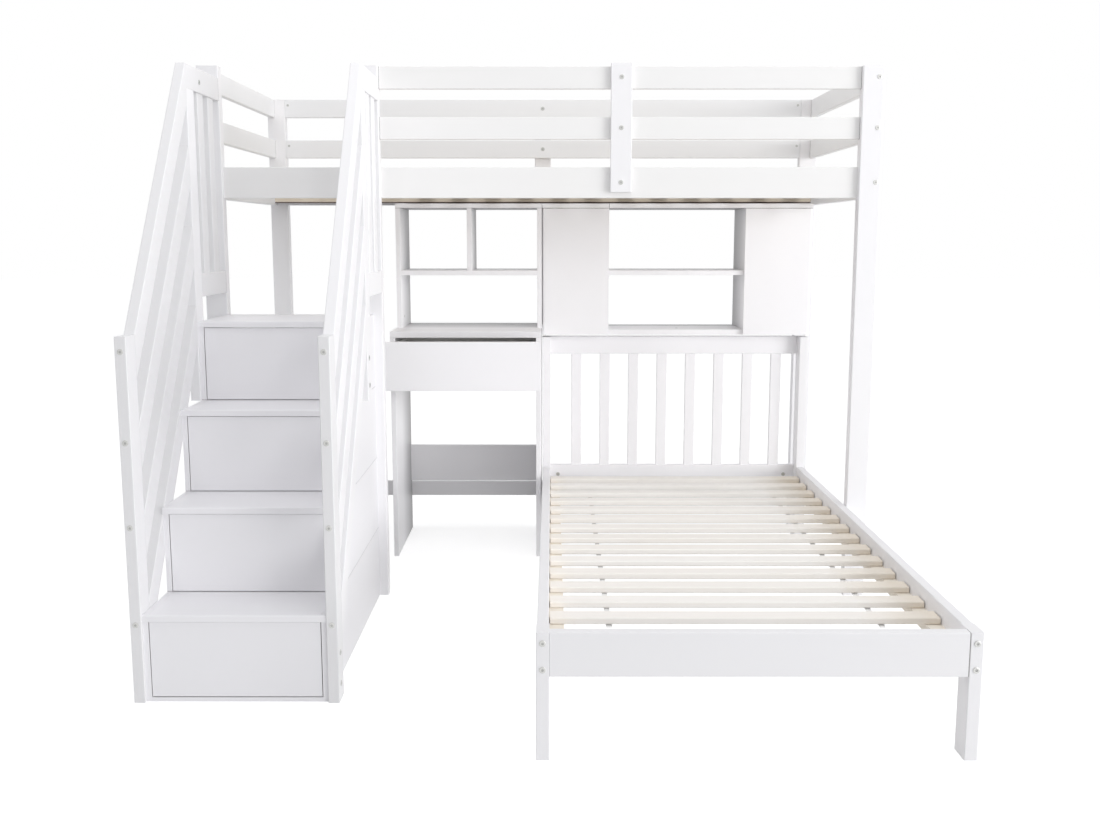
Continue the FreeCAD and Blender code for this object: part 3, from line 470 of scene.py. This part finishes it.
# Painted shade: the slats turn darker and warmer towards their ends, most at the right, under the side rails.
def shaded_ends(tree, spot, colour):
    along = shader_node(tree, "SeparateXYZ", {"Vector": spot}).outputs["X"]
    ragged = shader_node(tree, "TexNoise", {"Vector": spot, "Scale": 9.0, "Detail": 2.0}).outputs[0]
    waved = math_node(tree, "MULTIPLY_ADD", math_node(tree, "SUBTRACT", ragged, 0.5), 0.12, along)
    right = shader_node(tree, "MapRange", {
        "Value": waved, "From Min": high.x - RIGHT_SHADE_FROM, "From Max": high.x - RIGHT_SHADE_FULL,
        "To Max": 0.6}).outputs[0]
    left = shader_node(tree, "MapRange", {
        "Value": waved, "From Min": low.x + LEFT_SHADE_FROM, "From Max": low.x, "To Max": 0.18}).outputs[0]
    return blend_colours(tree, math_node(tree, "MAXIMUM", right, left), colour, SLAT_END_SHADE_AND_LEDGER_DARK)


finish_nodes(pine("lower_slat_pine", SLAT_CREAM, SLAT_STREAK, rings=0.16, first=first_slat, pitch=lower_pitch,
                  knots=0.08, marks=(shaded_ends,)), "lower_slats")
finish_nodes(pine("lower_ledger_pine", LOWER_LEDGER_LIGHT, SLAT_END_SHADE_AND_LEDGER_DARK, rings=0.3, first=0.0, pitch=0.7,
                  turn=QUARTER_LEFT), "lower_slat_ledgers")


# Slat straps: two tapes of woven cotton, one towards each side of the bed, stapled under every slat. They
# keep the slats apart and sag two millimetres in each gap between them.
STRAP_WIDTH = 0.015
STRAP_THICK = 0.0012
STRAP_SAG = 0.002
STRAP_TAIL = 0.012
STRAP_STEPS = 18
STRAP_SHADE_REACH = 0.004
COTTON_DARK = (0.84, 0.835, 0.83, 1)
COTTON_LIGHT = (0.95, 0.945, 0.94, 1)
STRAP_SHADE = (0.20, 0.195, 0.19, 1)
strap_low, strap_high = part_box("lower_slat_straps")
slat_under = low.z


def strap_mesh():
    points, faces = [], []
    steps = STRAP_STEPS * (LOWER_SLATS - 1)
    front, back = low.y - STRAP_TAIL, high.y
    path = [(front, STRAP_SAG), (low.y, STRAP_SAG / 3)]
    path += [(first_slat + lower_pitch * step / STRAP_STEPS,
              STRAP_SAG * (1 - math.cos(2 * math.pi * step / STRAP_STEPS)) / 2) for step in range(steps + 1)]
    path.append((back, 0.0))
    for left in (strap_low.x, strap_high.x - STRAP_WIDTH):
        for step, (y, drop) in enumerate(path):
            top = slat_under - drop
            for x, z in ((left, top), (left + STRAP_WIDTH, top),
                         (left + STRAP_WIDTH, top - STRAP_THICK), (left, top - STRAP_THICK)):
                points.append((x, y, z))
            if step:
                start = len(points) - 8
                for edge in range(4):
                    follower = (edge + 1) % 4
                    faces.append((start + edge, start + follower, start + 4 + follower, start + 4 + edge))
        first = len(points) - 4 * len(path)
        faces.append((first + 3, first + 2, first + 1, first))
        last = len(points) - 4
        faces.append((last, last + 1, last + 2, last + 3))
    mesh = bpy.data.meshes.new("slat_straps")
    mesh.from_pydata(points, [], faces)
    mesh.validate()
    return mesh


cotton, tree, shader, spot = new_finish("cotton_tape")
warp = shader_node(tree, "TexWave", {"Vector": spot, "Scale": 230.0}, bands_direction="X").outputs["Fac"]
weft = shader_node(tree, "TexWave", {"Vector": spot, "Scale": 190.0}, bands_direction="Y").outputs["Fac"]
weave = math_node(tree, "MULTIPLY", warp, weft)
cloth = blend_colours(tree, weave, COTTON_DARK, COTTON_LIGHT)
# Painted shade: the tape darkens in a narrow band where it runs in under each slat's front edge.
past_edge = math_node(tree, "SUBTRACT", shader_node(tree, "SeparateXYZ", {"Vector": spot}).outputs["Y"],
                      low.y - STRAP_SHADE_REACH)
in_gap = math_node(tree, "FLOORED_MODULO", past_edge, lower_pitch)
shaded_band = math_node(tree, "LESS_THAN", in_gap, STRAP_SHADE_REACH)
tint = blend_colours(tree, math_node(tree, "MULTIPLY", shaded_band, 0.75), cloth, STRAP_SHADE)
tree.links.new(tint, shader.inputs["Base Color"])
bump = shader_node(tree, "Bump", {"Strength": 0.6, "Distance": 0.0003, "Height": weave})
tree.links.new(bump.outputs[0], shader.inputs["Normal"])
shader.inputs["Roughness"].default_value = 0.85
straps = bpy.data.objects.new("slat_straps", strap_mesh())
straps.data.materials.append(cotton)
bpy.context.scene.collection.objects.link(straps)
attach(straps, "frame")
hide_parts("lower_slat_straps")


# Staples: zinc plated wire staples, shot through the straps into the underside of every slat, one at
# each crossing, with the crown across the tape.
def staple_tree():
    tree = bpy.data.node_groups.new("strap_staples", "GeometryNodeTree")
    tree.interface.new_socket("Crossings", in_out="INPUT", socket_type="NodeSocketGeometry")
    for label in ("Crown Width", "Leg Height", "Wire Radius"):
        tree.interface.new_socket(label, in_out="INPUT", socket_type="NodeSocketFloat")
    tree.interface.new_socket("Steel", in_out="INPUT", socket_type="NodeSocketMaterial")
    tree.interface.new_socket("Staples", in_out="OUTPUT", socket_type="NodeSocketGeometry")
    given = tree.nodes.new("NodeGroupInput").outputs
    asked = tree.nodes.new("NodeGroupOutput").inputs
    half = math_node(tree, "MULTIPLY", given["Crown Width"], 0.5)
    other = math_node(tree, "MULTIPLY", given["Crown Width"], -0.5)
    dip = math_node(tree, "MULTIPLY", given["Leg Height"], -0.5)

    def corner(side, height):
        return shader_node(tree, "CombineXYZ", {"X": side, "Z": height}).outputs[0]

    wire = place_node(tree, "GeometryNodeCurvePrimitiveBezierSegment", {
        "Resolution": 8, "Start": corner(other, given["Leg Height"]), "Start Handle": corner(other, dip),
        "End Handle": corner(half, dip), "End": corner(half, given["Leg Height"])})
    section = place_node(tree, "GeometryNodeCurvePrimitiveCircle", {
        "Resolution": 6, "Radius": given["Wire Radius"]})
    staple = place_node(tree, "GeometryNodeCurveToMesh", {
        "Curve": wire.outputs[0], "Profile Curve": section.outputs[0], "Fill Caps": True})
    placed = place_node(tree, "GeometryNodeInstanceOnPoints", {
        "Points": given["Crossings"], "Instance": staple.outputs[0]})
    real = place_node(tree, "GeometryNodeRealizeInstances", {"Geometry": placed.outputs[0]})
    steel = place_node(tree, "GeometryNodeSetMaterial", {
        "Geometry": real.outputs[0], "Material": given["Steel"]})
    tree.links.new(steel.outputs[0], asked["Staples"])
    return tree


def grown(name, tree, mesh, sizes):
    piece = bpy.data.objects.new(name, mesh)
    bpy.context.scene.collection.objects.link(piece)
    modifier = piece.modifiers.new(name, "NODES")
    modifier.node_group = tree
    for socket in tree.interface.items_tree:
        if socket.in_out == "INPUT" and socket.name in sizes:
            modifier[socket.identifier] = sizes[socket.name]
    seen = piece.evaluated_get(bpy.context.evaluated_depsgraph_get())
    plain = bpy.data.meshes.new_from_object(seen)
    piece.modifiers.remove(modifier)
    piece.data = plain
    plain.name = name
    return piece


crossings = bpy.data.meshes.new("strap_crossings")
crossings.from_pydata([
    (edge + STRAP_WIDTH / 2, first_slat + lower_pitch * slat, slat_under - STRAP_THICK)
    for edge in (strap_low.x, strap_high.x - STRAP_WIDTH) for slat in range(LOWER_SLATS)], [], [])
staples = grown("strap_staples", staple_tree(), crossings, {
    "Crown Width": 0.01, "Leg Height": 0.0012, "Wire Radius": 0.0005, "Steel": zinc})
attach(staples, "frame")


# Bolts: zinc plated connecting bolts with a hexagon socket, drawn tight until the head stands a bare
# two millimetres proud of the paint. Slotted barrel nuts take those that run along the guard rails, and
# two small screw heads show on the shelves.
def bolt_tree():
    tree = bpy.data.node_groups.new("socket_bolts", "GeometryNodeTree")
    tree.interface.new_socket("Places", in_out="INPUT", socket_type="NodeSocketGeometry")
    for label in ("Head Radius", "Rim Height", "Socket Radius", "Socket Depth", "Slot"):
        tree.interface.new_socket(label, in_out="INPUT", socket_type="NodeSocketFloat")
    tree.interface.new_socket("Turn Seed", in_out="INPUT", socket_type="NodeSocketInt")
    tree.interface.new_socket("Finish", in_out="INPUT", socket_type="NodeSocketMaterial")
    tree.interface.new_socket("Bolts", in_out="OUTPUT", socket_type="NodeSocketGeometry")
    given = tree.nodes.new("NodeGroupInput").outputs
    asked = tree.nodes.new("NodeGroupOutput").inputs
    chamfer, crown_share, sixth = 0.0004, 0.86, math.pi / 3
    slot_stretch = (1.5, 0.35, 1.0)

    def extruded(mesh, top, distance):
        return place_node(tree, "GeometryNodeExtrudeMesh", {
            "Mesh": mesh, "Selection": top, "Offset Scale": distance}, mode="FACES").outputs

    def narrowed(mesh, top, share):
        return place_node(tree, "GeometryNodeScaleElements", {
            "Geometry": mesh, "Selection": top, "Scale": share}, domain="FACE").outputs[0]

    rim = place_node(tree, "GeometryNodeMeshCylinder", {
        "Vertices": 24, "Radius": given["Head Radius"], "Depth": given["Rim Height"]},
        fill_type="NGON").outputs
    crown = extruded(rim["Mesh"], rim["Top"], chamfer)
    crowned = narrowed(crown["Mesh"], crown["Top"], crown_share)
    flat = extruded(crowned, crown["Top"], 0.0)
    share = math_node(tree, "DIVIDE", given["Socket Radius"],
                      math_node(tree, "MULTIPLY", given["Head Radius"], crown_share))
    ringed = narrowed(flat["Mesh"], flat["Top"], share)
    spot = place_node(tree, "GeometryNodeInputPosition", {}).outputs[0]
    axes = shader_node(tree, "SeparateXYZ", {"Vector": spot}).outputs
    angle = math_node(tree, "ADD", math_node(tree, "ARCTAN2", axes["Y"], axes["X"]), math.tau)
    off_flat = math_node(tree, "SUBTRACT", math_node(tree, "FLOORED_MODULO", angle, sixth), sixth / 2)
    hexagon = math_node(tree, "DIVIDE", math.cos(sixth / 2), math_node(tree, "COSINE", off_flat))
    six_sided = shader_node(tree, "CombineXYZ", {"X": hexagon, "Y": hexagon, "Z": 1.0}).outputs[0]
    shape = shader_node(tree, "Mix", {0: given["Slot"], 4: six_sided, 5: slot_stretch},
                        data_type="VECTOR").outputs[1]
    moved = shader_node(tree, "VectorMath", {0: spot, 1: shape}, operation="MULTIPLY").outputs[0]
    shaped = place_node(tree, "GeometryNodeSetPosition", {
        "Geometry": ringed, "Selection": flat["Top"], "Position": moved}).outputs[0]
    head = extruded(shaped, flat["Top"], math_node(tree, "MULTIPLY", given["Socket Depth"], -1.0))
    wall = place_node(tree, "FunctionNodeBooleanMath", {0: head["Top"], 1: head["Side"]},
                      operation="OR").outputs[0]
    # Marks the socket's floor and walls for the zinc to paint darker, painted shade in the hollow.
    dark = place_node(tree, "GeometryNodeStoreNamedAttribute", {
        "Geometry": head["Mesh"], "Name": "socket", "Value": wall},
        data_type="FLOAT", domain="FACE").outputs[0]
    facing = place_node(tree, "GeometryNodeInputNamedAttribute", {"Name": "facing"},
                        data_type="FLOAT_VECTOR").outputs["Attribute"]
    outward = place_node(tree, "FunctionNodeAlignRotationToVector", {"Vector": facing}, axis="Z").outputs[0]
    chance = place_node(tree, "FunctionNodeRandomValue", {3: math.pi, "Seed": given["Turn Seed"]},
                        data_type="FLOAT").outputs[1]
    roll = place_node(tree, "FunctionNodeAxisAngleToRotation", {
        "Axis": (0, 0, 1), "Angle": chance}).outputs[0]
    turned = place_node(tree, "FunctionNodeRotateRotation", {"Rotation": outward, "Rotate By": roll},
                        rotation_space="LOCAL").outputs[0]
    placed = place_node(tree, "GeometryNodeInstanceOnPoints", {
        "Points": given["Places"], "Instance": dark, "Rotation": turned})
    real = place_node(tree, "GeometryNodeRealizeInstances", {"Geometry": placed.outputs[0]})
    steel = place_node(tree, "GeometryNodeSetMaterial", {
        "Geometry": real.outputs[0], "Material": given["Finish"]})
    tree.links.new(steel.outputs[0], asked["Bolts"])
    return tree


FRONTWARD, BACKWARD, LEFTWARD, RIGHTWARD, UPWARD = (0, -1, 0), (0, 1, 0), (-1, 0, 0), (1, 0, 0), (0, 0, 1)
post_low, post_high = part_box("front_posts")
back_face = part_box("back_posts")[1].y
deck_low, deck_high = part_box("upper_front_rail")
inner_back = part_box("back_guard_rails")[0].y
GUARD_HALF, END_RAIL_INSET = 0.0355, 0.017
plate_low, plate_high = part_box("front_guard_plate")
rail_lines = (guard_high.z - GUARD_HALF, guard_low.z + GUARD_HALF, (deck_low.z + deck_high.z) / 2)
bolts_at, nuts_at = [], []
for z in rail_lines:
    for x in (post_low.x + END_RAIL_INSET, post_high.x - END_RAIL_INSET):
        bolts_at += [((x, post_low.y, z), FRONTWARD), ((x, back_face, z), BACKWARD)]
    bolts_at.append((((plate_low.x + plate_high.x) / 2, plate_low.y, z), FRONTWARD))
    bolts_at.append(((0.0, inner_back, z), FRONTWARD))
NUT_REACH, NUT_LIFT, HALF_RAIL = 0.083, 0.013, 0.011
stair_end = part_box("stair_post")[0].x
for z in (line + NUT_LIFT for line in rail_lines[:2]):
    for end, side, way in ((post_low.x, 1, LEFTWARD), (post_high.x, -1, RIGHTWARD)):
        nuts_at.append(((end + side * NUT_REACH, inner_back, z), FRONTWARD))
        bolts_at.append(((end, inner_back + HALF_RAIL, z), way))
    for end, side, way in ((stair_end, 1, LEFTWARD), (post_high.x, -1, RIGHTWARD)):
        nuts_at.append(((end + side * NUT_REACH, guard_high.y, z), BACKWARD))
        bolts_at.append(((end, guard_high.y - HALF_RAIL, z), way))
NEWEL_HALF, NEWEL_MIDDLE, STILE_MIDDLE = 0.015, 0.028, 0.0315
NEWEL_BOLT_HEIGHTS = (0.936, 0.701, 0.477, 0.215)
NEWEL_FOOT_HEIGHTS = (0.131, 0.045)
STILE_BOLT_HEIGHTS = (0.855, 0.7705)
stile_low, stile_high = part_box("stair_stiles")
for x in (newel_low.x + NEWEL_HALF, newel_high.x - NEWEL_HALF):
    bolts_at += [((x, newel_low.y, z), FRONTWARD) for z in NEWEL_BOLT_HEIGHTS]
for x, way in ((stile_high.x, RIGHTWARD), (stile_low.x, LEFTWARD)):
    bolts_at += [((x, stile_low.y + STILE_MIDDLE, z), way) for z in STILE_BOLT_HEIGHTS]
    bolts_at += [((x, newel_low.y + NEWEL_MIDDLE, z), way) for z in NEWEL_FOOT_HEIGHTS]
LANDING_BOLT = (-0.063, 1.691)
bolts_at.append(((landing_high.x, *LANDING_BOLT), RIGHTWARD))
bolts_at.append(((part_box("right_landing_guard")[0].x, *LANDING_BOLT), LEFTWARD))
HEAD_BOLTS_X, HEAD_BOLT_HEIGHT = (0.062, 0.971), 0.276
head_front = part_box("headboard_rails")[0].y
bolts_at += [((x, head_front, HEAD_BOLT_HEIGHT), FRONTWARD) for x in HEAD_BOLTS_X]
LEG_HALF, LEG_BOLT_HEIGHTS = 0.0155, (0.2885, 0.224)
leg_low, leg_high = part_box("foot_legs")
bolts_at += [((x, leg_low.y, z), FRONTWARD) for x in (leg_low.x + LEG_HALF, leg_high.x - LEG_HALF)
             for z in LEG_BOLT_HEIGHTS]
BOARD_THICK = 0.018
SHELF_CAP, HUTCH_CAP = (0.533, 0.894), (0.885, 0.912)
shelf_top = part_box("cabinet_bottom")[1].z
hutch_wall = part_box("hutch_sides")[0].x + BOARD_THICK
caps_at = [((*SHELF_CAP, shelf_top), UPWARD), ((hutch_wall, *HUTCH_CAP), RIGHTWARD)]
sockets = bolt_tree()


def fasteners(name, places, slot, **sizes):
    mesh = bpy.data.meshes.new(name + "_places")
    mesh.from_pydata([spot for spot, way in places], [], [])
    facing = mesh.attributes.new("facing", "FLOAT_VECTOR", "POINT")
    for entry, (spot, way) in zip(facing.data, places):
        entry.vector = way
    piece = grown(name, sockets, mesh, {label.replace("_", " "): value for label, value in sizes.items()})
    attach(piece, "frame")


fasteners("frame_bolts", bolts_at, "steel", Head_Radius=0.0078, Rim_Height=0.0026, Socket_Radius=0.0036,
          Socket_Depth=0.0014, Slot=0.0, Turn_Seed=4, Finish=zinc)
fasteners("barrel_nuts", nuts_at, "steel", Head_Radius=0.005, Rim_Height=0.001, Socket_Radius=0.0025,
          Socket_Depth=0.0007, Slot=1.0, Turn_Seed=9, Finish=zinc)
fasteners("screw_caps", caps_at, "steel", Head_Radius=0.0055, Rim_Height=0.001, Socket_Radius=0.0012,
          Socket_Depth=0.0004, Slot=0.0, Turn_Seed=2, Finish=zinc)


# Floor, light and camera: a plain white floor that keeps a faint shadow, wide soft light from the front
# right, from behind and a little from the left, a lamp overhead, one far out at the right, and a camera
# where the photograph was taken from.
FLOOR_REACH = 30.0
FLOOR_GREY = (0.80, 0.80, 0.80, 1)
FLOOR_MOTTLE = (0.83, 0.83, 0.83, 1)
FLOOR_SEEN = (0.72, 0.72, 0.72, 1)
WHITE = (1, 1, 1, 1)
ROOM_TINT = (0.97, 0.98, 1.0, 1)


def seen_straight(tree):
    path = shader_node(tree, "LightPath", {}).outputs
    mirrored = math_node(tree, "MAXIMUM", path["Is Glossy Ray"], path["Is Transmission Ray"])
    return math_node(tree, "MAXIMUM", path["Is Camera Ray"], mirrored)


def ground():
    mesh = bpy.data.meshes.new("floor")
    reach = FLOOR_REACH
    mesh.from_pydata([(-reach, -reach, 0), (reach, -reach, 0), (reach, reach, 0), (-reach, reach, 0)], [],
                     [(0, 1, 2, 3)])
    material = bpy.data.materials.new("floor_white")
    material.use_nodes = True
    tree = material.node_tree
    tree.nodes.clear()
    spot = shader_node(tree, "TexCoord", {}).outputs["Object"]
    mottle = shader_node(tree, "TexNoise", {"Vector": spot, "Scale": 1.5}).outputs[0]
    plain = shader_node(tree, "BsdfDiffuse", {
        "Color": blend_colours(tree, mottle, FLOOR_GREY, FLOOR_MOTTLE)})
    seen = shader_node(tree, "AddShader", {
        0: shader_node(tree, "BsdfDiffuse", {"Color": FLOOR_SEEN}).outputs[0],
        1: shader_node(tree, "Emission", {"Color": WHITE, "Strength": 0.61}).outputs[0]})
    mixed = shader_node(tree, "MixShader", {
        0: seen_straight(tree), 1: plain.outputs[0], 2: seen.outputs[0]})
    shader_node(tree, "OutputMaterial", {"Surface": mixed.outputs[0]})
    mesh.materials.append(material)
    floor = bpy.data.objects.new("floor", mesh)
    bpy.context.scene.collection.objects.link(floor)


ground()
scene = bpy.context.scene
scene.view_settings.view_transform = "Standard"
world = bpy.data.worlds.new("studio")
scene.world = world
world.use_nodes = True
tree = world.node_tree
tree.nodes.clear()
room = shader_node(tree, "Background", {"Color": ROOM_TINT, "Strength": 0.455})
white = shader_node(tree, "Background", {"Color": WHITE, "Strength": 1.0})
mixed = shader_node(tree, "MixShader", {0: seen_straight(tree), 1: room.outputs[0], 2: white.outputs[0]})
shader_node(tree, "OutputWorld", {"Surface": mixed.outputs[0]})


BED_MIDDLE = (0.2, 0.1, 0.6)


def hang_light(name, kind, spot, aim, strength):
    light = bpy.data.lights.new(name, kind)
    light.energy = strength
    holder = bpy.data.objects.new(name, light)
    holder.location = spot
    holder.rotation_euler = (Vector(aim) - Vector(spot)).to_track_quat("-Z", "Y").to_euler()
    scene.collection.objects.link(holder)
    return holder


def soft_sun(name, spot, strength, spread):
    holder = hang_light(name, "SUN", spot, BED_MIDDLE, strength)
    holder.data.angle = math.radians(spread)
    return holder


def wide_lamp(name, spot, aim, watts, size):
    hang_light(name, "AREA", spot, aim, watts).data.size = size


soft_sun("window_light", (7.0, -5.0, 1.3), strength=1.05, spread=30)
soft_sun("front_light", (4.4, -7.1, 2.4), strength=0.31, spread=30)
wide_lamp("ceiling_lamp", (0.2, -0.6, 4.6), aim=(0.2, -0.6, 0.0), watts=84, size=5.0)
wide_lamp("right_lamp", (5.2, -2.4, 1.2), aim=(0.3, 0.6, 0.9), watts=101, size=2.6)
soft_sun("back_light", (0.2, 8.0, 1.7), strength=0.8, spread=40).visible_glossy = False
soft_sun("left_light", (-8.0, 0.1, 2.0), strength=0.3, spread=20).visible_glossy = False
PHOTO_LENS, PHOTO_TILT, PHOTO_TURN = 37.68, 8.7, 0.1
camera = bpy.data.cameras.new("photo_camera")
camera.sensor_fit = "HORIZONTAL"
camera.sensor_width = 36.0
camera.lens = PHOTO_LENS
camera.clip_end = 100.0
viewer = bpy.data.objects.new("photo_camera", camera)
viewer.location = (0.0376, -3.6934, 1.2272)
viewer.rotation_euler = (math.radians(90 - PHOTO_TILT), 0, math.radians(PHOTO_TURN))
scene.collection.objects.link(viewer)
scene.camera = viewer
